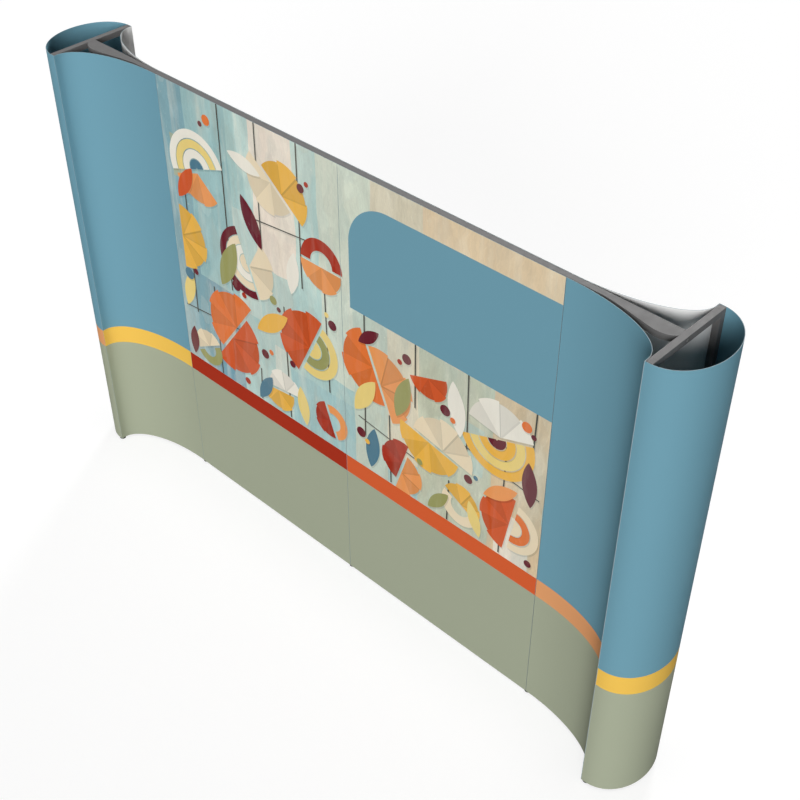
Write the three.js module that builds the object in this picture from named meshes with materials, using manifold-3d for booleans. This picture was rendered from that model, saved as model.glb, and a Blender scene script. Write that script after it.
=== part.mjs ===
// A free-standing display backwall with an H-shaped plan. A slim wall of square tube stands between
// two end frames, tapered arms join them, and magnets hold flat and curved graphic panels all round.
// Millimetres, +Z up. The origin is on the floor under the middle of the wall. +X runs along the
// wall to the right of someone who faces its front, and +Y points to the back.
import * as THREE from "three";
import { mergeVertices } from "three/addons/utils/BufferGeometryUtils.js";
import Module from "manifold-3d";

const wasm = await Module();
wasm.setup();

// The whole object.
const OVERALL_HEIGHT = 2150; // floor to the top of the rails and panels
const WALL_POST_SPACING = 1062; // from one wall post's axis to the next
const RETURN_LENGTH = 443; // from an outer wall post's axis to the end frame's inner face
const END_FRAME_DEPTH = 400; // an end frame, front to back
const END_PANEL_BULGE = 150; // how far an end panel stands out past its end frame

// Frame tube, and the plates that close its ends.
const TUBE = 25;
const TUBE_WALL = 2;
const FOOT_PLATE = 4;
const TOP_PLATE = 4;
const RAIL_END_PLATE = 3;
const VENT_RADIUS = 3; // hole under a rail, which lets hot air out while its coat is baked
const VENT_FROM_END = 50;

// Heights of the rails' axes above the floor.
const MIDDLE_RAIL_Z = 1080;
const BOTTOM_RAIL_Z = 52.5;
const TOP_RAIL_Z = OVERALL_HEIGHT - TUBE / 2;

// Hooks on the ends of rails and arms, and the slots that they drop into.
const HOOK_THICKNESS = 3;
const HOOK_TONGUE = 10; // height of the part that passes through the slot
const HOOK_LIP = 2; // thickness of the part behind the slotted wall
const HOOK_DROP = 3; // how far that part reaches below the slot

// Arms: straight at the wall, then swelling forward near the end frame.
const ARM_SWELL_LENGTH = 310; // from the end frame to where the arm starts to widen
const ARM_PEAK_FROM_END = 68; // from the end frame to the widest place
const ARM_PEAK_FRONT = 52; // front edge at the widest place, from the tube's axis
const ARM_END_FRONT = 27; // front edge where the arm meets the end frame
const ARM_SKIN = 3;
const ARM_END_BLOCK = 14; // solid metal at the end frame, which takes the screw
const ARM_CURVE_STEPS = 12; // facets along each curve of an arm's front edge

// Countersunk screws that clamp the arms to the end frames.
const SCREW_Y = 15; // in front of the tube's axis
const SCREW_HEAD_RADIUS = 6;
const SCREW_RADIUS = 3;
const SCREW_GRIP = 10; // length inside the arm
const SCREW_SOCKET_RADIUS = 2.3;
const SCREW_SOCKET_DEPTH = 2;

// Levelling feet.
const FOOT_RADIUS = 15;
const FOOT_RIM = 5;
const FOOT_NECK_RADIUS = 7;
const FOOT_HEIGHT = 8; // floor to the shoulder that the post stands on
const FOOT_STEM_RADIUS = 4;
const FOOT_STEM_LENGTH = 42;
const FOOT_BORE_CLEARANCE = 0.1;

// Magnetic tape on the posts, and the panels that it holds.
const TAPE_THICKNESS = 1;
const WALL_TAPE_WIDTH = 24;
const END_TAPE_WIDTH = 12.7;
const TAPE_END_MARGIN = 12; // from a panel's top or bottom edge to the end of the tape
const PANEL_THICKNESS = 2;
const PANEL_FLOOR_GAP = 10;
const PANEL_SEAM = 2; // gap between the edges of two panels in line

const SEAT = 0.3; // clearance between pieces that bear on each other
const WELD_DISTANCE = 1e-4; // corners of a shape closer than this are one corner
const QUARTER_STEPS = 24; // facets along a quarter of an ellipse
const ROUND_STEPS = 24; // facets around a round piece

// Places that follow from the sizes above.
const HALF_TUBE = TUBE / 2;
const POST_BOTTOM = FOOT_HEIGHT + SEAT;
const END_FRAME_X = WALL_POST_SPACING + RETURN_LENGTH;
const END_POST_X = END_FRAME_X + HALF_TUBE;
const END_POST_Y = END_FRAME_DEPTH / 2 - HALF_TUBE;
const PANEL_STANDOFF = SEAT + TAPE_THICKNESS + SEAT;
const PANEL_HEIGHT = OVERALL_HEIGHT - PANEL_FLOOR_GAP;
const SLOT_HEIGHT = HOOK_TONGUE + HOOK_DROP + 2 * SEAT;
const SLOT_WIDTH = HOOK_THICKNESS + 2 * SEAT;
const ARM_LENGTH = RETURN_LENGTH - HALF_TUBE - 2 * SEAT;
const CUT_MARGIN = 1; // how far a cutting shape runs past the face it cuts

const frameMetal = { color: 0x8a8a8a, roughness: 0.5, metalness: 0.6 };
const armMetal = { color: 0x868686, roughness: 0.55, metalness: 0.5 };
const screwMetal = { color: 0x9c9c9c, roughness: 0.35, metalness: 0.9 };
const tapeRubber = { color: 0x2b2724, roughness: 0.9, metalness: 0 };
const footPlastic = { color: 0x1e1e1e, roughness: 0.7, metalness: 0 };
const centrePrint = { color: 0x9fb8b4, roughness: 0.6, metalness: 0 };
const tealPrint = { color: 0x6993a3, roughness: 0.6, metalness: 0 };
const whitePrint = { color: 0xf2f2f2, roughness: 0.6, metalness: 0 };

const backwall = new THREE.Group();

function addPiece(name, geometry, finish, x = 0, y = 0, z = 0, turn = 0) {
  const mesh = new THREE.Mesh(geometry, new THREE.MeshStandardMaterial(finish));
  mesh.name = name;
  mesh.position.set(x, y, z);
  mesh.rotation.z = turn;
  backwall.add(mesh);
}

// Booleans.

function toSolid(geometry) {
  const bare = geometry.clone();
  bare.deleteAttribute("normal");
  bare.deleteAttribute("uv");
  const merged = mergeVertices(bare, WELD_DISTANCE);
  const vertProperties = new Float32Array(merged.attributes.position.array);
  const triVerts = new Uint32Array(merged.index.array);
  return new wasm.Manifold(new wasm.Mesh({ numProp: 3, vertProperties, triVerts }));
}

function toGeometry(solid) {
  const mesh = solid.getMesh();
  const geometry = new THREE.BufferGeometry();
  geometry.setAttribute("position", new THREE.BufferAttribute(mesh.vertProperties, 3));
  geometry.setIndex(new THREE.BufferAttribute(mesh.triVerts, 1));
  geometry.computeVertexNormals();
  return geometry;
}

function joinAndCut(added, removed) {
  let solid = toSolid(added[0]);
  for (const geometry of added.slice(1)) {
    solid = solid.add(toSolid(geometry));
  }
  for (const geometry of removed) {
    solid = solid.subtract(toSolid(geometry));
  }
  return toGeometry(solid);
}

// Basic shapes.

function box(x0, x1, y0, y1, z0, z1) {
  const geometry = new THREE.BoxGeometry(x1 - x0, y1 - y0, z1 - z0);
  return geometry.translate((x0 + x1) / 2, (y0 + y1) / 2, (z0 + z1) / 2);
}

// A cylinder along Z, or along Y when lying is true.
function rod(radius, length, x, y, z, lying = false) {
  const geometry = new THREE.CylinderGeometry(radius, radius, length, ROUND_STEPS);
  if (!lying) {
    geometry.rotateX(Math.PI / 2);
  }
  return geometry.translate(x, y, z);
}

// Hooks and slots. Heights are measured from the axis of the rail or arm.

function hook(faceX, direction, y) {
  const behindWall = SEAT + TUBE_WALL + SEAT;
  const tongueBottom = -SLOT_HEIGHT / 2 + SEAT;
  const tongueTop = tongueBottom + HOOK_TONGUE;
  const root = faceX - direction * CUT_MARGIN;
  const lipStart = faceX + direction * behindWall;
  const lipEnd = lipStart + direction * HOOK_LIP;
  const halfThickness = HOOK_THICKNESS / 2;
  const tongue = box(
    Math.min(root, lipEnd), Math.max(root, lipEnd),
    y - halfThickness, y + halfThickness, tongueBottom, tongueTop,
  );
  const lip = box(
    Math.min(lipStart, lipEnd), Math.max(lipStart, lipEnd),
    y - halfThickness, y + halfThickness, tongueBottom - HOOK_DROP, tongueTop,
  );
  return [tongue, lip];
}

// A slot through the tube wall that faces the given direction about Z.
function slot(angle, z) {
  const cutter = box(
    HALF_TUBE - TUBE_WALL - CUT_MARGIN, HALF_TUBE + CUT_MARGIN,
    -SLOT_WIDTH / 2, SLOT_WIDTH / 2, -SLOT_HEIGHT / 2, SLOT_HEIGHT / 2,
  );
  return cutter.rotateZ(angle).translate(0, 0, z);
}

// Posts: each stands on a tapped foot plate, has a closed top and is slotted where rails meet it.

function postGeometry(rails) {
  const inside = HALF_TUBE - TUBE_WALL;
  const outer = box(
    -HALF_TUBE, HALF_TUBE, -HALF_TUBE, HALF_TUBE, POST_BOTTOM, OVERALL_HEIGHT,
  );
  const hollow = box(
    -inside, inside, -inside, inside, POST_BOTTOM + FOOT_PLATE, OVERALL_HEIGHT - TOP_PLATE,
  );
  const bore = rod(
    FOOT_STEM_RADIUS + FOOT_BORE_CLEARANCE, FOOT_PLATE + 2 * CUT_MARGIN,
    0, 0, POST_BOTTOM + FOOT_PLATE / 2,
  );
  const slots = rails.map(({ angle, z }) => slot(angle, z));
  return joinAndCut([outer], [hollow, bore, ...slots]);
}

function addPosts() {
  const toRight = 0;
  const toLeft = Math.PI;
  const wallLevels = [BOTTOM_RAIL_Z, MIDDLE_RAIL_Z, TOP_RAIL_Z];
  const armLevels = [BOTTOM_RAIL_Z, TOP_RAIL_Z];
  const slotsAt = (angle, levels) => levels.map((z) => ({ angle, z }));
  const wallPosts = [
    ["wall_post_left", -1, [...slotsAt(toRight, wallLevels), ...slotsAt(toLeft, armLevels)]],
    ["wall_post_centre", 0, [...slotsAt(toRight, wallLevels), ...slotsAt(toLeft, wallLevels)]],
    ["wall_post_right", 1, [...slotsAt(toLeft, wallLevels), ...slotsAt(toRight, armLevels)]],
  ];
  for (const [name, place, rails] of wallPosts) {
    addPiece(name, postGeometry(rails), frameMetal, place * WALL_POST_SPACING);
  }
  for (const [end, side] of [["left", -1], ["right", 1]]) {
    for (const [row, facing] of [["front", -1], ["back", 1]]) {
      const rails = slotsAt(-facing * Math.PI / 2, armLevels);
      addPiece(
        `${end}_end_post_${row}`, postGeometry(rails), frameMetal,
        side * END_POST_X, facing * END_POST_Y,
      );
    }
  }
}

// Rails: tubes closed by an end plate with a hook on it, vented underneath.

function railGeometry(length, cuts = []) {
  const half = length / 2;
  const inside = HALF_TUBE - TUBE_WALL;
  const outer = box(-half, half, -HALF_TUBE, HALF_TUBE, -HALF_TUBE, HALF_TUBE);
  const hollow = box(
    -half + RAIL_END_PLATE, half - RAIL_END_PLATE, -inside, inside, -inside, inside,
  );
  const vent = rod(
    VENT_RADIUS, TUBE_WALL + 2 * CUT_MARGIN, half - VENT_FROM_END, 0, -HALF_TUBE + TUBE_WALL / 2,
  );
  const tube = joinAndCut([outer], [hollow, vent, ...cuts]);
  return joinAndCut([tube, ...hook(half, 1, 0), ...hook(-half, -1, 0)], []);
}

function addWallRails() {
  const levels = [["top", TOP_RAIL_Z], ["middle", MIDDLE_RAIL_Z], ["bottom", BOTTOM_RAIL_Z]];
  for (const [level, z] of levels) {
    for (const [name, side] of [["left", -1], ["right", 1]]) {
      const x = side * WALL_POST_SPACING / 2;
      const geometry = railGeometry(WALL_POST_SPACING - TUBE - 2 * SEAT);
      addPiece(`wall_${level}_rail_${name}`, geometry, frameMetal, x, 0, z);
    }
  }
}

// An end frame's rail. Its +Y face looks at the wall, and screwX is where the arm's screw crosses.
function endRailGeometry(screwX) {
  const hole = SCREW_RADIUS + SEAT;
  const through = rod(hole, TUBE + 2 * CUT_MARGIN, screwX, 0, 0, true);
  const mouth = SCREW_HEAD_RADIUS + SEAT + CUT_MARGIN;
  const countersink = new THREE.CylinderGeometry(hole, mouth, mouth - hole, ROUND_STEPS);
  countersink.translate(screwX, -HALF_TUBE - CUT_MARGIN + (mouth - hole) / 2, 0);
  const armSlot = slot(Math.PI / 2, 0);
  return railGeometry(END_FRAME_DEPTH - 2 * TUBE - 2 * SEAT, [through, countersink, armSlot]);
}

function addEndRails() {
  for (const [end, side] of [["left", -1], ["right", 1]]) {
    for (const [level, z] of [["top", TOP_RAIL_Z], ["bottom", BOTTOM_RAIL_Z]]) {
      addPiece(
        `${end}_end_${level}_rail`, endRailGeometry(-side * SCREW_Y), frameMetal,
        side * END_POST_X, 0, z, side * Math.PI / 2,
      );
    }
  }
}

// Arms: a tray open underneath. Its outline is drawn from the wall end, at x = 0, and set in by
// the thickness of the skin for the hollow.

function armOutline(side, inset, endInset) {
  const end = ARM_LENGTH - endInset;
  const swellStart = ARM_LENGTH - ARM_SWELL_LENGTH;
  const peakX = ARM_LENGTH - ARM_PEAK_FROM_END;
  const peakY = -ARM_PEAK_FRONT + inset;
  const frontY = -HALF_TUBE + inset;
  const endY = -ARM_END_FRONT + inset;
  const outline = new THREE.Shape();
  outline.moveTo(side * inset, HALF_TUBE - inset);
  outline.lineTo(side * end, HALF_TUBE - inset);
  outline.lineTo(side * end, endY);
  outline.quadraticCurveTo(side * (ARM_LENGTH - ARM_PEAK_FROM_END / 3), peakY, side * peakX, peakY);
  outline.bezierCurveTo(
    side * (peakX - ARM_PEAK_FROM_END / 2), peakY,
    side * (swellStart + ARM_PEAK_FROM_END), frontY,
    side * swellStart, frontY,
  );
  outline.lineTo(side * inset, frontY);
  return outline;
}

function armGeometry(side) {
  const options = { bevelEnabled: false, curveSegments: ARM_CURVE_STEPS };
  const body = new THREE.ExtrudeGeometry(armOutline(side, 0, 0), { depth: TUBE, ...options });
  body.translate(0, 0, -HALF_TUBE);
  const hollow = new THREE.ExtrudeGeometry(
    armOutline(side, ARM_SKIN, ARM_END_BLOCK), { depth: TUBE - ARM_SKIN + CUT_MARGIN, ...options },
  );
  hollow.translate(0, 0, -HALF_TUBE - CUT_MARGIN);
  const hooks = [...hook(0, -side, 0), ...hook(side * ARM_LENGTH, side, 0)];
  const bore = rod(SCREW_RADIUS + SEAT, 2 * (SCREW_GRIP + SEAT), 0, 0, 0, true);
  bore.rotateZ(Math.PI / 2).translate(side * ARM_LENGTH, -SCREW_Y, 0);
  return joinAndCut([body, ...hooks], [hollow, bore]);
}

function screwGeometry() {
  const length = TUBE + SEAT + SCREW_GRIP;
  const cone = SCREW_HEAD_RADIUS - SCREW_RADIUS;
  const profile = [
    new THREE.Vector2(0, -length),
    new THREE.Vector2(SCREW_RADIUS, -length),
    new THREE.Vector2(SCREW_RADIUS, -cone),
    new THREE.Vector2(SCREW_HEAD_RADIUS, 0),
    new THREE.Vector2(0, 0),
  ];
  const body = new THREE.LatheGeometry(profile, ROUND_STEPS);
  const socket = new THREE.CylinderGeometry(
    SCREW_SOCKET_RADIUS, SCREW_SOCKET_RADIUS, 2 * SCREW_SOCKET_DEPTH, 6,
  );
  return joinAndCut([body], [socket]);
}

function addArmsAndScrews() {
  const outerPostFace = WALL_POST_SPACING + HALF_TUBE;
  for (const [end, side] of [["left", -1], ["right", 1]]) {
    for (const [level, z] of [["top", TOP_RAIL_Z], ["bottom", BOTTOM_RAIL_Z]]) {
      const name = `${end}_${level}_arm`;
      addPiece(name, armGeometry(side), armMetal, side * (outerPostFace + SEAT), 0, z);
      addPiece(
        `${name}_screw`, screwGeometry(), screwMetal,
        side * (END_FRAME_X + TUBE), -SCREW_Y, z, -side * Math.PI / 2,
      );
    }
  }
}

// Levelling feet: a pad that carries a threaded stem in the post's foot plate.

function footGeometry() {
  const profile = [
    new THREE.Vector2(0, 0),
    new THREE.Vector2(FOOT_RADIUS - CUT_MARGIN, 0),
    new THREE.Vector2(FOOT_RADIUS, CUT_MARGIN),
    new THREE.Vector2(FOOT_RADIUS, FOOT_RIM),
    new THREE.Vector2(FOOT_NECK_RADIUS, FOOT_HEIGHT),
    new THREE.Vector2(FOOT_STEM_RADIUS, FOOT_HEIGHT),
    new THREE.Vector2(FOOT_STEM_RADIUS, FOOT_HEIGHT + FOOT_STEM_LENGTH),
    new THREE.Vector2(0, FOOT_HEIGHT + FOOT_STEM_LENGTH),
  ];
  return new THREE.LatheGeometry(profile, ROUND_STEPS).rotateX(Math.PI / 2);
}

function addFeet() {
  for (const [name, place] of [["left", -1], ["centre", 0], ["right", 1]]) {
    addPiece(`wall_foot_${name}`, footGeometry(), footPlastic, place * WALL_POST_SPACING);
  }
  for (const [end, side] of [["left", -1], ["right", 1]]) {
    for (const [row, facing] of [["front", -1], ["back", 1]]) {
      addPiece(
        `${end}_end_foot_${row}`, footGeometry(), footPlastic,
        side * END_POST_X, facing * END_POST_Y,
      );
    }
  }
}

// Magnetic tape, stuck to the posts where the panels' upright edges land.

function addTapes() {
  const height = PANEL_HEIGHT - 2 * TAPE_END_MARGIN;
  const z = PANEL_FLOOR_GAP + PANEL_HEIGHT / 2;
  const standoff = SEAT + TAPE_THICKNESS / 2;
  const wallTape = new THREE.BoxGeometry(WALL_TAPE_WIDTH, TAPE_THICKNESS, height);
  const endTape = new THREE.BoxGeometry(END_TAPE_WIDTH, TAPE_THICKNESS, height);
  const returnTape = new THREE.BoxGeometry(TAPE_THICKNESS, END_TAPE_WIDTH, height);
  for (const [row, facing] of [["front", -1], ["back", 1]]) {
    for (const [name, place] of [["left", -1], ["centre", 0], ["right", 1]]) {
      addPiece(
        `wall_${row}_tape_${name}`, wallTape, tapeRubber,
        place * WALL_POST_SPACING, facing * (HALF_TUBE + standoff), z,
      );
    }
    for (const [end, side] of [["left", -1], ["right", 1]]) {
      addPiece(
        `${end}_end_tape_${row}`, endTape, tapeRubber,
        side * (END_FRAME_X + END_TAPE_WIDTH / 2), facing * (END_FRAME_DEPTH / 2 + standoff), z,
      );
      addPiece(
        `${end}_return_tape_${row}`, returnTape, tapeRubber,
        side * (END_FRAME_X - standoff), facing * (END_FRAME_DEPTH - END_TAPE_WIDTH) / 2, z,
      );
    }
  }
}

// Panels. A curved one is a strip along the path of its inner face, thickened outwards.

function stripGeometry(path, height) {
  const outer = path.map((point, i) => {
    const before = path[Math.max(i - 1, 0)];
    const after = path[Math.min(i + 1, path.length - 1)];
    const along = after.clone().sub(before).normalize();
    return new THREE.Vector2(
      point.x - along.y * PANEL_THICKNESS, point.y + along.x * PANEL_THICKNESS,
    );
  });
  const outline = new THREE.Shape([...path, ...outer.reverse()]);
  return new THREE.ExtrudeGeometry(outline, { depth: height, bevelEnabled: false });
}

// The path of a return panel, for the right-hand end, turned so that the panel's front is +Y.
function returnPath() {
  const wallY = HALF_TUBE + PANEL_STANDOFF;
  const startX = WALL_POST_SPACING + PANEL_SEAM / 2;
  const curveStartX = WALL_POST_SPACING + HALF_TUBE;
  const endX = END_FRAME_X - PANEL_STANDOFF;
  const curveEndY = END_FRAME_DEPTH / 2 - END_TAPE_WIDTH;
  const endY = END_FRAME_DEPTH / 2 + PANEL_STANDOFF + PANEL_THICKNESS;
  const path = [new THREE.Vector2(startX, wallY)];
  for (let i = 0; i <= QUARTER_STEPS; i += 1) {
    const angle = i / QUARTER_STEPS * Math.PI / 2;
    path.push(new THREE.Vector2(
      curveStartX + (endX - curveStartX) * Math.sin(angle),
      curveEndY - (curveEndY - wallY) * Math.cos(angle),
    ));
  }
  path.push(new THREE.Vector2(endX, endY));
  return path;
}

// The path of an end panel, for the right-hand end, from front to back.
function endPanelPath() {
  const startX = END_FRAME_X - PANEL_STANDOFF + SEAT;
  const curveX = END_FRAME_X + END_TAPE_WIDTH;
  const reach = END_FRAME_X + TUBE + END_PANEL_BULGE - PANEL_THICKNESS;
  const y = END_FRAME_DEPTH / 2 + PANEL_STANDOFF;
  const path = [new THREE.Vector2(startX, -y)];
  for (let i = -QUARTER_STEPS; i <= QUARTER_STEPS; i += 1) {
    const angle = i / QUARTER_STEPS * Math.PI / 2;
    path.push(new THREE.Vector2(curveX + (reach - curveX) * Math.cos(angle), y * Math.sin(angle)));
  }
  path.push(new THREE.Vector2(startX, y));
  return path;
}

// Mirrors a right-hand path to the given side and face. A path is walked so that its outside is
// on its left, so one that is mirrored once is walked the other way.
function placed(path, side, facing) {
  const moved = path.map((point) => new THREE.Vector2(side * point.x, facing * point.y));
  return side * facing < 0 ? moved.reverse() : moved;
}

function addPanels() {
  const width = WALL_POST_SPACING - PANEL_SEAM;
  const flat = new THREE.BoxGeometry(width, PANEL_THICKNESS, PANEL_HEIGHT);
  const flatY = HALF_TUBE + PANEL_STANDOFF + PANEL_THICKNESS / 2;
  const flatZ = PANEL_FLOOR_GAP + PANEL_HEIGHT / 2;
  for (const [name, side] of [["left", -1], ["right", 1]]) {
    for (const [row, facing] of [["front", -1], ["back", 1]]) {
      const front = row === "front";
      addPiece(
        `${row}_centre_panel_${name}`, flat, front ? centrePrint : whitePrint,
        side * WALL_POST_SPACING / 2, facing * flatY, flatZ,
      );
      addPiece(
        `${row}_curved_panel_${name}`,
        stripGeometry(placed(returnPath(), side, facing), PANEL_HEIGHT),
        front ? tealPrint : whitePrint, 0, 0, PANEL_FLOOR_GAP,
      );
    }
    addPiece(
      `end_panel_${name}`, stripGeometry(placed(endPanelPath().reverse(), side, 1), PANEL_HEIGHT),
      tealPrint, 0, 0, PANEL_FLOOR_GAP,
    );
  }
}

addPosts();
addWallRails();
addEndRails();
addArmsAndScrews();
addFeet();
addTapes();
addPanels();

export default backwall;
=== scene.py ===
"""Looks for the display backwall. Metres, +Z up, and its front faces -Y."""

import math

import bmesh
import bpy
from mathutils import Matrix, Vector, geometry


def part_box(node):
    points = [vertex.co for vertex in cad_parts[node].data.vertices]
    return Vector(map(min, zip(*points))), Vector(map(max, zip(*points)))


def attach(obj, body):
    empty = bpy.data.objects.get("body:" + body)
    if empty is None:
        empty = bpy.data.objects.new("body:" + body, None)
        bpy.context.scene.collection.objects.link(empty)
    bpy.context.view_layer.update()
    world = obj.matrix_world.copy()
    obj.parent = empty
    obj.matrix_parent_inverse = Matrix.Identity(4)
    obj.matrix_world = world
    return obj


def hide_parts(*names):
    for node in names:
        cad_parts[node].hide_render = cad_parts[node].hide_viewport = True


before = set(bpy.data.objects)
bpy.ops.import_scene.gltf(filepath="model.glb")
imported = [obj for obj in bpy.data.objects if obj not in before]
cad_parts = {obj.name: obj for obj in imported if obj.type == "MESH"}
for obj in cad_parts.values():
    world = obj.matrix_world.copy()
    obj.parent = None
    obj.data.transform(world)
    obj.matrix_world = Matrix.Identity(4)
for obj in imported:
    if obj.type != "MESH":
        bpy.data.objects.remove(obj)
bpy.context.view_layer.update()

MM = 0.001
ENDS = {"left": -1, "right": 1}
ROWS = {"front": -1, "back": 1}

# Lamps: (azimuth, elevation, strength, softness), with the angles in degrees. Azimuth 0 shines on
# the front, and a positive one comes from the right.
KEY_LIGHT = (32.0, 13.0, 3.06, 34)
BACK_LIGHT = (205.0, 13.0, 2.9, 14)
TOP_LIGHT = (0, 90, 1.1, 20)
FILL = 0.02  # strength of the even light from all round

# What the wall's front face makes of that light.
WALL_LIGHT = 0.82  # share of full light that reaches it
MIRRORED = 0.004  # light that its film mirrors, whatever the ink
DARKEST_INK, PALEST_INK = 0.002, 0.92

# Floor: what the camera sees of it, and what it throws back onto the object.
FLOOR_SIZE = 60
FLOOR_SHADED = 0.3  # the part of its brightness that a shadow can take away
FLOOR_GLOW = 0.77
FLOOR_BOUNCE = 0.06

# Camera, solved from the photograph.
CAMERA_PLACE = (3.1001, -2.9550, 4.5832)
CAMERA_YAW, CAMERA_PITCH, CAMERA_ROLL = 43.41, 39.86, 0.05
CAMERA_FOCAL_SHARE = 1317.8 / 800  # focal length as a share of the frame's width
SENSOR_WIDTH = 36.0
CAMERA_REACH = 200

# Print. Heights above the floor and places across the wall, in millimetres.
BAND_BOTTOM, BAND_TOP = 617, 713
BLOCK_LEFT, BLOCK_BOTTOM, BLOCK_TOP, BLOCK_CORNER = 48, 1526, 2038, 206
MURAL_EDGE, MURAL_TOP = 1062, 2160  # as far as the ground of the mural goes
BLEED = 18  # how far ink runs on, to be trimmed with the sheet
SHADE_SHIFT = (5, -7)  # from a shape to its printed shadow
SHADE = 0.80  # of the ink that the shadow lies on
BLADE_SHADE = 0.86  # of the ink of the blade beside a dark one
SHAPE_BRUSH = 0.22  # how much of the ground's brushwork the shapes show

# Rounding and facets.
TUBE_BEVEL = 0.8 * MM
SHEET_BEVEL = 0.25 * MM
BEVEL_ANGLE = 50  # edges sharper than this get a bevel
SHARP_ANGLE = 40  # and those sharper than this stay sharp in the shading
CURVE_STEPS = 96  # facets along a quarter of an ellipse

# Noise hardly leaves this range.
NOISE_LOW, NOISE_HIGH = 0.3, 0.7


def linear(r, g, b):
    """A screen colour, 0 to 255, as linear light."""
    def channel(value):
        share = value / 255
        return share / 12.92 if share <= 0.04045 else ((share + 0.055) / 1.055) ** 2.4

    return (channel(r), channel(g), channel(b), 1.0)


def seen(r, g, b):
    """The ink that shows as this screen colour on the wall's front face."""
    return tuple(
        min(max(light - MIRRORED, DARKEST_INK) / WALL_LIGHT, PALEST_INK)
        for light in linear(r, g, b)[:3]
    ) + (1.0,)


TEAL = seen(105, 148, 164)
SAGE = seen(156, 162, 141)
DARK_RED = seen(158, 50, 33)
ORANGE_RED = seen(203, 92, 53)
AMBER = seen(238, 183, 84)
PEACH = seen(215, 152, 104)
WHITE = (0.84, 0.84, 0.83, 1.0)
WORN_COAT = (0.34, 0.335, 0.33, 1.0)
DUST = (0.3, 0.28, 0.25, 1.0)
RUBBER = (0.026, 0.021, 0.018, 1.0)
SHEET_CORE = (0.34, 0.43, 0.46, 1.0)


# Node materials.

def node(tree, kind, inputs=None, **settings):
    """A new node. An input is a value, or the output that feeds it."""
    made = tree.nodes.new(kind)
    for key, value in settings.items():
        setattr(made, key, value)
    for key, value in (inputs or {}).items():
        if isinstance(value, bpy.types.NodeSocket):
            tree.links.new(value, made.inputs[key])
        else:
            made.inputs[key].default_value = value
    return made


def new_material(name):
    """The material, its node tree, its shader and the place on the object."""
    material = bpy.data.materials.new(name)
    material.use_nodes = True
    tree = material.node_tree
    place = node(tree, "ShaderNodeTexCoord").outputs["Object"]
    return material, tree, tree.nodes["Principled BSDF"], place


def noise(tree, place, scale, stretch=(1, 1, 1), detail=3.0, roughness=0.55):
    """Noise in object space; scale is in cells per metre."""
    mapping = node(tree, "ShaderNodeMapping", {"Vector": place, "Scale": stretch})
    return node(tree, "ShaderNodeTexNoise", {
        "Vector": mapping.outputs["Vector"], "Scale": scale,
        "Detail": detail, "Roughness": roughness,
    }).outputs["Fac"]


def remap(tree, value, low, high, to_low, to_high):
    """The value, with low to high stretched to to_low to to_high and cut off there."""
    return node(tree, "ShaderNodeMapRange", {
        "Value": value, "From Min": low, "From Max": high, "To Min": to_low, "To Max": to_high,
    }).outputs["Result"]


def noise_to(tree, value, to_low, to_high):
    """Noise, stretched to to_low to to_high."""
    return remap(tree, value, NOISE_LOW, NOISE_HIGH, to_low, to_high)


def calculate(tree, operation, a, b):
    """The result of a Math node."""
    return node(tree, "ShaderNodeMath", {0: a, 1: b}, operation=operation).outputs[0]


def tint(tree, colour, factor, other, blend="MIX"):
    """The colour, mixed towards other by factor."""
    return node(
        tree, "ShaderNodeMix", {0: factor, 6: colour, 7: other},
        data_type="RGBA", blend_type=blend,
    ).outputs[2]


def shade_by(tree, colour, value, amount):
    """The colour, darker where value is low and lighter where it is high, by up to amount."""
    grey = remap(tree, value, 0.25, 0.75, 1 - amount, 1 + amount)
    grey_colour = node(tree, "ShaderNodeCombineColor", {0: grey, 1: grey, 2: grey}).outputs[0]
    return tint(tree, colour, 1.0, grey_colour, "MULTIPLY")


def bump(tree, bsdf, height, distance, strength=1.0):
    """Relief from height, as deep as distance in metres."""
    made = node(tree, "ShaderNodeBump", {
        "Height": height, "Distance": distance, "Strength": strength,
    })
    tree.links.new(made.outputs["Normal"], bsdf.inputs["Normal"])


def powder_coat(name, colour):
    """Baked powder with a fine orange peel, rubbed pale here and there."""
    material, tree, bsdf, place = new_material(name)
    peel = noise(tree, place, 420, detail=2)
    speck = noise(tree, place, 2600, detail=1)
    cloud = noise(tree, place, 2.3)
    rubbed = noise(tree, place, 38, stretch=(1, 1, 0.35), detail=5, roughness=0.7)
    body = shade_by(tree, colour, speck, 0.06)
    body = shade_by(tree, body, cloud, 0.05)
    body = tint(tree, body, remap(tree, rubbed, 0.66, 0.78, 0.0, 0.30), WORN_COAT)
    tree.links.new(body, bsdf.inputs["Base Color"])
    tree.links.new(noise_to(tree, rubbed, 0.54, 0.70), bsdf.inputs["Roughness"])
    bsdf.inputs["Specular IOR Level"].default_value = 0.25
    bump(tree, bsdf, peel, 0.00012, 0.6)
    return material


def metal(name, colour, roughness):
    """Bare metal with a fine grain and a few duller places."""
    material, tree, bsdf, place = new_material(name)
    grain = noise(tree, place, 900, detail=4)
    cloud = noise(tree, place, 45)
    body = shade_by(tree, shade_by(tree, colour, grain, 0.12), cloud, 0.08)
    rough = noise_to(tree, grain, roughness - 0.08, roughness + 0.1)
    tree.links.new(body, bsdf.inputs["Base Color"])
    tree.links.new(rough, bsdf.inputs["Roughness"])
    bsdf.inputs["Metallic"].default_value = 1.0
    bump(tree, bsdf, grain, 0.00003)
    return material


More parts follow.
